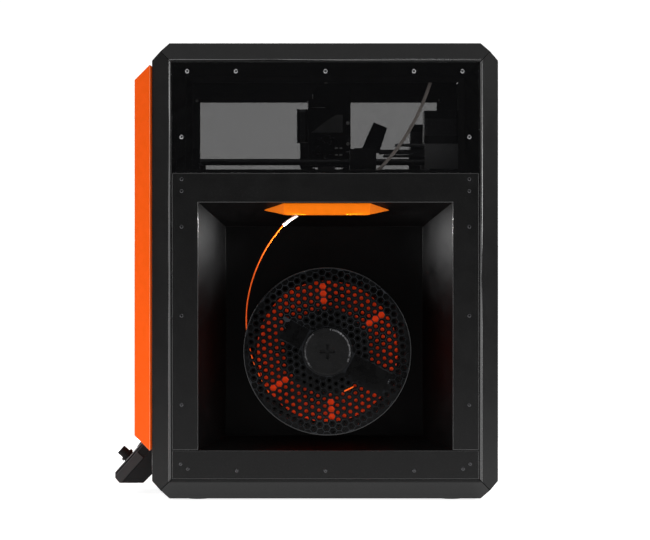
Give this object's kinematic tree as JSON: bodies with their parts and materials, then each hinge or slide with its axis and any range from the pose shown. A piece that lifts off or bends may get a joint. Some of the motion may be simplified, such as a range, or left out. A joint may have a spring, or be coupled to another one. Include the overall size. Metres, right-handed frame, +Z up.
{
  "type": "fdm printer",
  "caption": "Enclosed desktop filament 3-D printer with a bevelled steel body, smoked windows, a front door, a tilted knob display and a reel bay in its right side.",
  "frame": {"origin": "middle of the whole machine's footprint, on the surface it stands on", "axes": "+Z up, -Y towards the front door, +X towards the side with the reel bay"},
  "size_m": [0.4334, 0.4742, 0.555],
  "materials": {
    "black_steel": "textured powder coat",
    "smoked_acrylic": "smoked, clear",
    "orange_shell": "satin paint",
    "orange_cover": "satin moulded",
    "orange_filament": "glossy strand",
    "reel_black": "moulded satin",
    "black_plastic": "fine grain",
    "cap_grey": "scuffed satin",
    "screen_gloss": "polished",
    "tube_white": "milky",
    "bright_steel": "polished",
    "screw_black": "black oxide",
    "motor_black": "satin enamel",
    "raw_aluminium": "brushed",
    "bed_surface": "grainy coated steel",
    "belt_rubber": "ribbed",
    "foot_rubber": "matt"
  },
  "bodies": {
    "root": {"corner_posts": "black_steel", "top_frame": "black_steel", "bottom_frame": "black_steel", "right_panels": "black_steel", "left_panels": "black_steel", "spool_bay": "black_steel", "window_surrounds": "black_steel", "side_windows": "smoked_acrylic", "rear_panel": "black_steel", "base_pan": "black_steel", "chamber_floor": "black_steel", "front_plate": "black_steel", "front_bezel": "orange_shell", "feet": "foot_rubber", "panel_screws": "screw_black", "window_rivets": "bright_steel", "inlet_cover": "orange_cover", "filament_sensor": "black_plastic", "spool_axle": "black_plastic", "display_housing": "black_plastic", "display_screen": "screen_gloss", "mainboard_case": "black_plastic", "power_supply": "raw_aluminium", "mains_inlet": "black_plastic", "guide_rods": "bright_steel", "stepper_motors": "motor_black", "motion_brackets": "black_steel", "drive_belts": "belt_rubber", "exhaust_fan": "black_plastic", "feed_tube": "tube_white", "filament_strand": "orange_filament"},
    "door": {"door_frame": "black_steel", "door_pane": "smoked_acrylic"},
    "lid": {"lid_frame": "black_steel", "lid_pane": "smoked_acrylic"},
    "gantry": {"gantry_beam": "raw_aluminium", "gantry_blocks": "black_steel", "gantry_belts": "belt_rubber", "feed_tube_loop": "tube_white"},
    "head": {"head_carriage": "black_plastic", "head_cover": "black_plastic", "extruder_motor": "motor_black", "hot_end": "raw_aluminium", "fan_duct": "black_plastic", "harness_arm": "black_plastic"},
    "head_fan": {"head_fan": "black_plastic"},
    "latch": {"extruder_lever": "black_plastic"},
    "bed": {"bed_frame": "raw_aluminium", "bed_plate": "bed_surface"},
    "left_screw": {"left_lead_screw": "bright_steel"},
    "right_screw": {"right_lead_screw": "bright_steel"},
    "reel": {"reel": "reel_black", "filament_winding": "orange_filament"},
    "reel_cap": {"reel_cap": "cap_grey"},
    "stem": {"encoder_stem": "bright_steel"},
    "knob": {"display_knob": "cap_grey"},
    "rocker": {"power_rocker": "black_plastic"},
    "exhaust_rotor": {"exhaust_rotor": "black_plastic"},
    "left_pulley": {"left_belt_pulley": "raw_aluminium"},
    "right_pulley": {"right_belt_pulley": "raw_aluminium"}
  },
  "joints": [
    {"name": "door_swing", "type": "hinge", "parent": "root", "child": "door", "pos_m": [-0.1561, -0.20535, 0.295], "axis": [0, 0, -1], "range_deg": [0, 100]},
    {"name": "lid_lift", "type": "slide", "parent": "root", "child": "lid", "axis": [0, 0, 1], "range_m": [0, 0.08]},
    {"name": "gantry_slide", "type": "slide", "parent": "root", "child": "gantry", "axis": [0, 1, 0], "range_m": [-0.17, 0.055]},
    {"name": "head_slide", "type": "slide", "parent": "gantry", "child": "head", "axis": [1, 0, 0], "range_m": [-0.112, 0.122]},
    {"name": "head_fan_spin", "type": "hinge", "parent": "head", "child": "head_fan", "pos_m": [-0.0046, 0.02715, 0.434], "axis": [1, 0, 0], "continuous": true},
    {"name": "latch_lift", "type": "hinge", "parent": "head", "child": "latch", "pos_m": [0.0064, 0.03415, 0.4905], "axis": [-1, 0, 0], "range_deg": [0, 35]},
    {"name": "bed_lift", "type": "slide", "parent": "root", "child": "bed", "axis": [0, 0, 1], "range_m": [-0.21, 0.064]},
    {"name": "left_screw_turn", "type": "hinge", "parent": "root", "child": "left_screw", "pos_m": [-0.1726, -0.03485, 0.2], "axis": [0, 0, 1], "range_deg": [-2900, 9470]},
    {"name": "right_screw_turn", "type": "hinge", "parent": "root", "child": "right_screw", "pos_m": [0.1194, -0.03485, 0.2], "axis": [0, 0, 1], "range_deg": [-2900, 9470]},
    {"name": "reel_turn", "type": "hinge", "parent": "root", "child": "reel", "pos_m": [0.1724, 0.02425, 0.1818], "axis": [1, 0, 0], "continuous": true},
    {"name": "reel_cap_turn", "type": "hinge", "parent": "root", "child": "reel_cap", "pos_m": [0.2024, 0.02425, 0.1818], "axis": [1, 0, 0], "continuous": true},
    {"name": "knob_press", "type": "slide", "parent": "root", "child": "stem", "axis": [0, 0.7437, -0.6685], "range_m": [0, 0.001], "stiffness_N_per_m": 900, "springref_m": -0.0005},
    {"name": "knob_turn", "type": "hinge", "parent": "stem", "child": "knob", "pos_m": [0.0744, -0.22055, 0.0467], "axis": [0, -0.7437, 0.6685], "continuous": true},
    {"name": "rocker_tip", "type": "hinge", "parent": "root", "child": "rocker", "pos_m": [-0.1146, 0.22815, 0.0435], "axis": [-1, 0, 0], "range_deg": [0, 14]},
    {"name": "exhaust_spin", "type": "hinge", "parent": "root", "child": "exhaust_rotor", "pos_m": [-0.0076, 0.22315, 0.44], "axis": [0, 1, 0], "continuous": true},
    {"name": "left_pulley_turn", "type": "hinge", "parent": "root", "child": "left_pulley", "pos_m": [-0.1706, 0.16415, 0.416], "axis": [0, 0, 1], "range_deg": [-510, 1540]},
    {"name": "right_pulley_turn", "type": "hinge", "parent": "root", "child": "right_pulley", "pos_m": [0.1554, 0.16415, 0.416], "axis": [0, 0, 1], "range_deg": [-1540, 510]}
  ],
  "couplings": [
    {"joint": "left_screw_turn", "follows": "bed_lift", "rad_per_m": -785.4},
    {"joint": "right_screw_turn", "follows": "bed_lift", "rad_per_m": -785.4},
    {"joint": "left_pulley_turn", "follows": "gantry_slide", "rad_per_m": -156.99},
    {"joint": "right_pulley_turn", "follows": "gantry_slide", "rad_per_m": 156.99}
  ]
}
